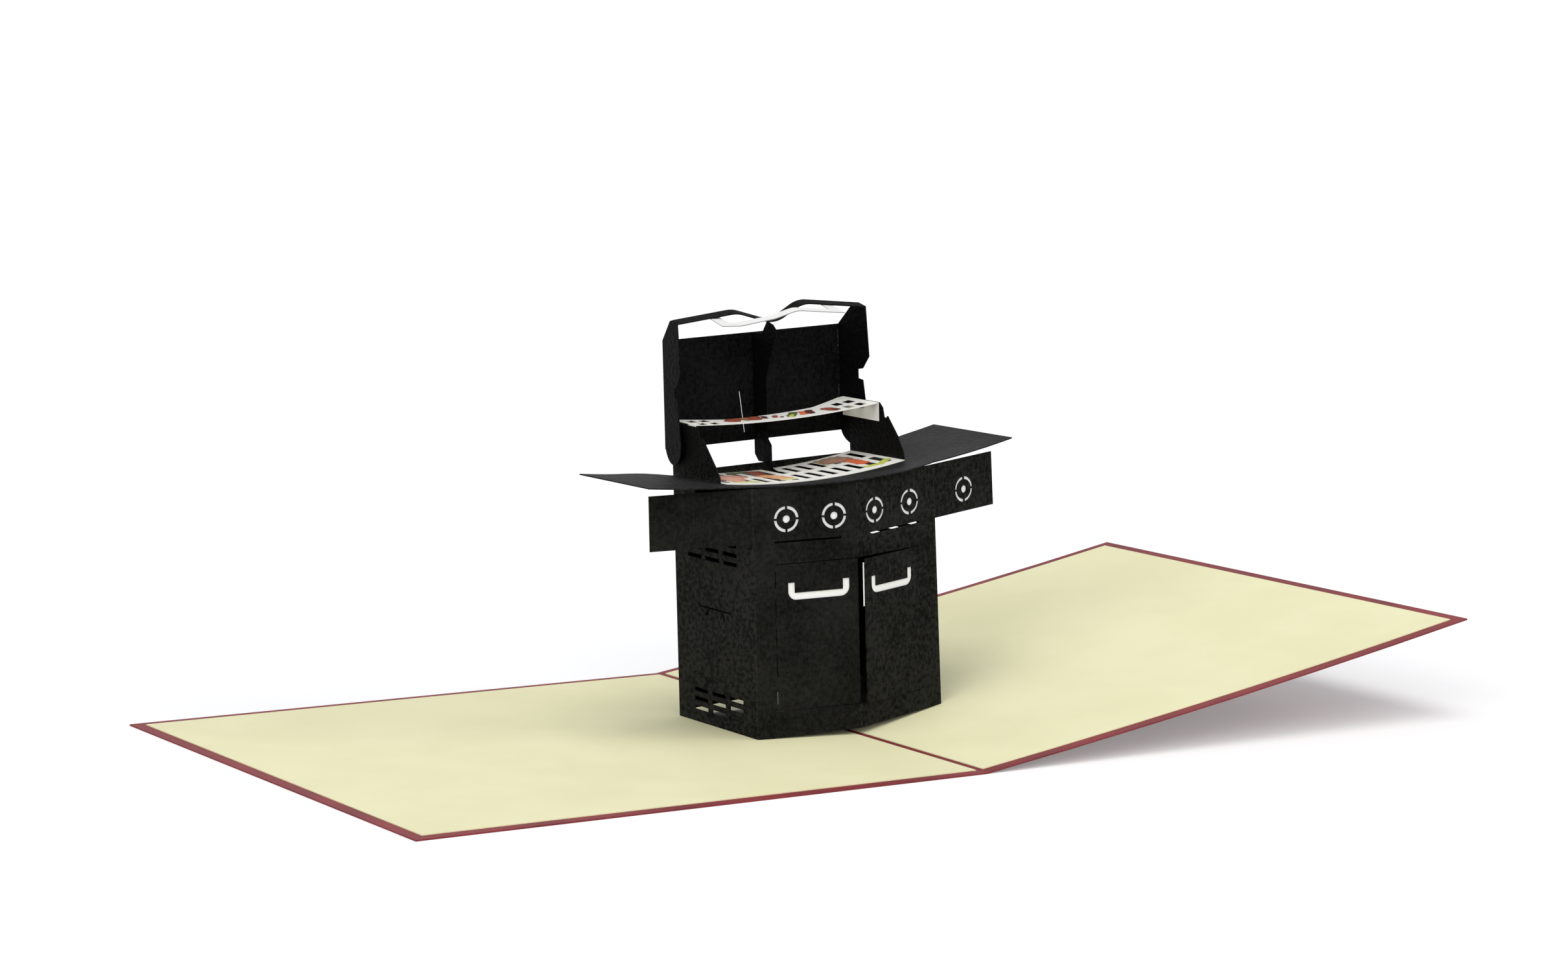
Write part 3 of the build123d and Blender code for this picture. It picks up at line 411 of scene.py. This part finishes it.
def black_card(name, matt_and_shaded_inside=False):
    """Black fibrous card: lumpy like leather on its side faces, streaked and finer on the others."""
    finish = FINISHES[name]
    dark = linear(finish.dark)
    graph = material_graph(name)
    place = graph.grill_place()
    facing_x = graph.facing()[0]
    sideways = graph.step(graph.math("ABSOLUTE", facing_x), *SIDE_FACE)
    rightward = graph.step(facing_x, *RIGHT_FACE)
    height, mottle = card_grain(graph, sideways, rightward)
    colour = graph.mix(graph.step(mottle, *BLACK_SPREAD), dark, linear(finish.light))
    # Painted shade on the side faces above the worktop
    upper = graph.math("MULTIPLY", graph.step(graph.parts(place)[2], *CHEEK_SHADE_FADE), CHEEK_PAINTED_SHADE)
    colour = graph.mix(graph.math("MULTIPLY", upper, sideways), colour, dark)
    wear = graph.math("MULTIPLY", fold_wear(graph, place), FOLD_WEAR_SHARE)
    colour = graph.mix(wear, colour, linear(WORN_SHADE))
    # Painted shadow along the hook's cuts
    hook = graph.math("MULTIPLY", hook_painted_shadow(graph, place), sideways)
    colour = graph.mix(hook, colour, linear(HOOK_PAINTED_SHADOW))
    gloss = finish.gloss
    # Painted shade: under the grate the worktop goes to its dark shade and loses its gloss
    if matt_and_shaded_inside:
        inside = in_cook_box(graph, place)
        colour = graph.mix(inside, colour, dark)
        gloss = graph.step(inside, 0.0, 1.0, finish.gloss, 0.0)
    return graph.surface(colour, graph.bump(height, BLACK_GRAIN.depth), finish.roughness, gloss)


def maroon_card():
    """Maroon cover card with a fine felt grain."""
    finish = FINISHES["maroon_card"]
    graph = material_graph("maroon_card")
    place = graph.place()
    grain = graph.noise(place, MAROON_GRAIN.fibre * MM, detail=4.0)
    cloud = graph.noise(place, MAROON_GRAIN.cloud * MM, detail=2.0)
    mottle = graph.math("MULTIPLY_ADD", graph.math("SUBTRACT", grain, 0.5), MAROON_FIBRE_SHARE, cloud)
    colour = graph.mix(graph.step(mottle, *MAROON_SPREAD), linear(finish.dark), linear(finish.light))
    return graph.surface(colour, graph.bump(grain, MAROON_GRAIN.depth), finish.roughness, finish.gloss)


def painted_shade_under_cabinet(graph, place):
    """1 on the pages inside the cabinet's walls, where they get painted shade."""
    x, y, _ = graph.parts(place)
    middle = (CABINET_BACK + CABINET_FRONT) / 2 * MM
    half = (CABINET_BACK - CABINET_FRONT) / 2 * MM
    from_middle = graph.math("ABSOLUTE", graph.math("SUBTRACT", y, middle))
    along = graph.below(from_middle, half, GROUND_SOFT * MM)
    across = graph.below(graph.math("ABSOLUTE", x), CABINET_HALF * MM, GROUND_SOFT * MM)
    return graph.math("MULTIPLY", along, across)


def cream_paper():
    """Cream liner paper, almost smooth, with a faint mottle, and painted shade where the cabinet closes it
    off.
    """
    finish = FINISHES["cream_paper"]
    graph = material_graph("cream_paper")
    place = graph.place()
    grain = graph.noise(place, CREAM_GRAIN.fibre * MM, detail=4.0)
    cloud = graph.noise(place, CREAM_GRAIN.cloud * MM)
    colour = graph.mix(graph.step(cloud, *CREAM_SPREAD), linear(finish.dark), linear(finish.light))
    # Painted shade on the pages inside the cabinet's walls
    colour = graph.mix(painted_shade_under_cabinet(graph, place), colour, linear(GROUND_PAINTED_SHADE))
    return graph.surface(colour, graph.bump(grain, CREAM_GRAIN.depth), finish.roughness, finish.gloss)


def white_paper():
    """Plain white paper behind the cut-outs."""
    finish = FINISHES["white_paper"]
    graph = material_graph("white_paper")
    place = graph.place()
    grain = graph.noise(place, WHITE_GRAIN.fibre * MM)
    cloud = graph.noise(place, WHITE_GRAIN.cloud * MM, detail=2.0)
    colour = graph.mix(cloud, linear(finish.dark), linear(finish.light))
    return graph.surface(colour, graph.bump(grain, WHITE_GRAIN.depth), finish.roughness, finish.gloss)


def handle_paper():
    """White paper of the handle: light on top, with painted shade along its front edge and on its cut sides.
    """
    finish = FINISHES["handle_paper"]
    cut = linear(finish.dark)
    graph = material_graph("handle_paper")
    grain = graph.noise(graph.place(), WHITE_GRAIN.fibre * MM)
    lowest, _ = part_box("lid_handle")
    y = graph.parts(graph.grill_place())[1]
    from_front = graph.math("SUBTRACT", y, lowest[1] / MM)
    # Painted shade along the front edge of the handle's top
    front_edge = graph.below(from_front, HANDLE_EDGE, HANDLE_EDGE_SOFT)
    top = graph.mix(front_edge, linear(finish.light), cut)
    level = graph.math("ABSOLUTE", graph.facing()[2])
    # Painted shade on the faces that do not look up or down
    colour = graph.mix(graph.step(level, *UPPER_FACE), cut, top)
    return graph.surface(colour, graph.bump(grain, WHITE_GRAIN.depth), finish.roughness, finish.gloss)


def grate_slots(graph, place):
    """Printed slots of the cooking grate: two rows of dark bars."""
    low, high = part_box("cooking_grate")
    front = low[1] / MM
    back = high[1] / MM
    row_length = (back - front - GRATE_FRONT_BORDER - GRATE_MIDDLE_BAR - GRATE_BACK_BORDER) / 2
    pitch = (2 * (GRATE_HALF - GRATE_SIDE_BORDER) + GRATE_BAR) / GRATE_COLUMNS
    x, y, _ = graph.parts(place)
    from_column = graph.math("ABSOLUTE", graph.math("WRAP", x, pitch / 2, -pitch / 2))
    column = graph.below(from_column, (pitch - GRATE_BAR) / 2, SLOT_SOFT)
    front_middle = front + GRATE_FRONT_BORDER + row_length / 2
    back_middle = back - GRATE_BACK_BORDER - row_length / 2
    rows = 0.0
    for middle in (front_middle, back_middle):
        away = graph.math("ABSOLUTE", graph.math("SUBTRACT", y, middle))
        rows = graph.math("MAXIMUM", graph.below(away, row_length / 2, SLOT_SOFT), rows)
    return graph.math("MULTIPLY", column, rows)


def food(graph, colour, place, pieces):
    """Lay printed food over a colour; each piece is a bar with round ends and a mottled fill."""
    stray = graph.swing(place, STRAY_SIZE, detail=2.0)
    mottle = graph.step(graph.noise(place, MOTTLE_SIZE), *MOTTLE_SPREAD)
    mottle = graph.math("MULTIPLY", mottle, MOTTLE_DARK)
    for ink, start, end, half_width in pieces:
        away = bar_distance(graph, place, (*start, 0.0), (*end, 0.0))
        edge = graph.math("MULTIPLY_ADD", stray, STRAY * half_width ** 0.5, away)
        dark, light = (linear(shade) for shade in INKS[ink])
        rim = graph.step(edge, RIM_START * half_width, half_width, 0.0, RIM_DARK)
        fill = graph.mix(mottle, graph.mix(rim, light, dark), dark)
        colour = graph.mix(graph.below(edge, half_width, FOOD_SOFT), colour, fill)
    return colour


def flap_painted_shade(graph, place):
    """Painted shade: dark band along the top of the rack's end flaps."""
    _, y, z = graph.parts(place)
    sideways = graph.step(graph.math("ABSOLUTE", graph.facing()[0]), *FLAP_FACE)
    under_top = graph.below(z, FLAP_SHADE_HIGH, FLAP_SHADE_SOFT)
    over_low = graph.step(z, FLAP_SHADE_LOW, FLAP_SHADE_LOW + FLAP_SHADE_LOW_FADE)
    behind = graph.step(y, FLAP_SHADE_START, FLAP_SHADE_START + FLAP_SHADE_BACK_FADE)
    band = graph.math("MULTIPLY", under_top, over_low)
    return graph.math("MULTIPLY", graph.math("MULTIPLY", sideways, band), behind)


def printed_paper(name, pieces, slots=False, flaps=False):
    """White paper with food, and slots if it has them, printed on its upper face, with painted shade on its
    end flaps if it has them.
    """
    finish = FINISHES["printed_paper"]
    graph = material_graph(name)
    place = graph.grill_place()
    flat = plan(graph, place)
    grain = graph.noise(place, PRINTED_GRAIN.fibre)
    cloud = graph.noise(place, PRINTED_GRAIN.cloud, detail=2.0)
    paper = graph.mix(cloud, linear(finish.dark), linear(finish.light))
    colour = paper
    if slots:
        colour = graph.mix(grate_slots(graph, flat), colour, linear(PRINT_AND_PAINTED_SHADE))
    colour = food(graph, colour, flat, pieces)
    colour = graph.mix(graph.step(graph.facing()[2], *UPPER_FACE), paper, colour)
    # Painted shade along the top of the rack's end flaps
    if flaps:
        colour = graph.mix(flap_painted_shade(graph, place), colour, linear(PRINT_AND_PAINTED_SHADE))
    return graph.surface(colour, graph.bump(grain, PRINTED_GRAIN.depth), finish.roughness, finish.gloss)


def shown(graph):
    """1 for the rays that see the backdrop itself: from the camera, in gloss and through glass."""
    paths = graph.node("ShaderNodeLightPath")
    total = paths.outputs["Is Camera Ray"]
    for kind in ("Is Glossy Ray", "Is Transmission Ray"):
        total = graph.math("MAXIMUM", total, paths.outputs[kind])
    return total


def floor_material():
    """Pale floor that shows white where no shadow falls."""
    graph = material_graph("floor")
    diffuse = graph.node("ShaderNodeBsdfDiffuse", {"Color": FLOOR_COLOUR})
    seen = graph.math("MULTIPLY", shown(graph), FLOOR_LIFT)
    glow = graph.node("ShaderNodeEmission", {"Color": WHITE, "Strength": seen})
    both = graph.node("ShaderNodeAddShader", {0: diffuse.outputs[0], 1: glow.outputs[0]})
    graph.node("ShaderNodeOutputMaterial", {"Surface": both.outputs[0]})
    return graph.owner


def make_floor():
    """Large plane that the card lies on."""
    half = FLOOR_SIZE / 2
    corners = [(-half, -half, 0.0), (half, -half, 0.0), (half, half, 0.0), (-half, half, 0.0)]
    mesh = bpy.data.meshes.new("floor")
    mesh.from_pydata(corners, [], [(0, 1, 2, 3)])
    mesh.materials.append(floor_material())
    floor = bpy.data.objects.new("floor", mesh)
    bpy.context.scene.collection.objects.link(floor)


def make_world():
    """Soft even sky that is seen as plain white."""
    world = bpy.data.worlds.new("studio")
    bpy.context.scene.world = world
    graph = Graph(world)
    sky = graph.node("ShaderNodeBackground", {"Color": SKY_TINT, "Strength": SKY_LEVEL})
    white = graph.node("ShaderNodeBackground", {"Color": WHITE, "Strength": 1.0})
    either = graph.node("ShaderNodeMixShader", {0: shown(graph), 1: sky.outputs[0], 2: white.outputs[0]})
    graph.node("ShaderNodeOutputWorld", {"Surface": either.outputs[0]})


def make_sun(name, azimuth, elevation, level, softness):
    """Soft sun that shines from an azimuth and an elevation."""
    data = bpy.data.lights.new(name, "SUN")
    data.energy = pi * level
    data.angle = radians(softness)
    data.color = SUN_TINT
    lamp = bpy.data.objects.new(name, data)
    out = cos(radians(elevation))
    towards = Vector((out * cos(radians(azimuth)), out * sin(radians(azimuth)), sin(radians(elevation))))
    lamp.rotation_euler = towards.to_track_quat("Z", "Y").to_euler()
    bpy.context.scene.collection.objects.link(lamp)


def make_camera():
    """Camera at the photograph's viewing angle."""
    data = bpy.data.cameras.new("camera")
    data.lens = CAMERA_LENS
    data.sensor_width = SENSOR
    camera = bpy.data.objects.new("camera", data)
    bpy.context.scene.collection.objects.link(camera)
    turn = Matrix.Rotation(radians(CAMERA_AZIMUTH), 4, "Z")
    turn = turn @ Matrix.Rotation(radians(90 + CAMERA_TILT), 4, "X")
    turn = turn @ Matrix.Rotation(radians(CAMERA_ROLL), 4, "Z")
    camera.matrix_world = Matrix.Translation(CAMERA_PLACE) @ turn
    bpy.context.scene.camera = camera


def dress(material, *nodes):
    """Give a material to the sheets of these names."""
    for name in nodes:
        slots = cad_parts[name].data.materials
        slots.clear()
        slots.append(material)


dress(maroon_card(), "card_cover")
dress(cream_paper(), "liner_left", "liner_right")
dress(black_card("black_card"), "cabinet", "back_wall")
dress(black_card("black_worktop_card", matt_and_shaded_inside=True), "worktop")
# Painted shade: the lid and its rib take the darker copy of the black card
dress(black_card("black_lid_card"), "lid", "lid_rib")
dress(printed_paper("printed_grate", GRATE_FOOD, slots=True), "cooking_grate")
dress(printed_paper("printed_rack", RACK_FOOD, flaps=True), "warming_rack")
dress(handle_paper(), "lid_handle")
dress(
    white_paper(),
    "knob_backing_left",
    "knob_backing_right",
    "door_backing_left",
    "door_backing_right",
)
make_floor()
make_world()
for sun_name, sun in SUNS.items():
    make_sun(sun_name, *sun)
make_camera()
bpy.context.scene.view_settings.view_transform = "Standard"
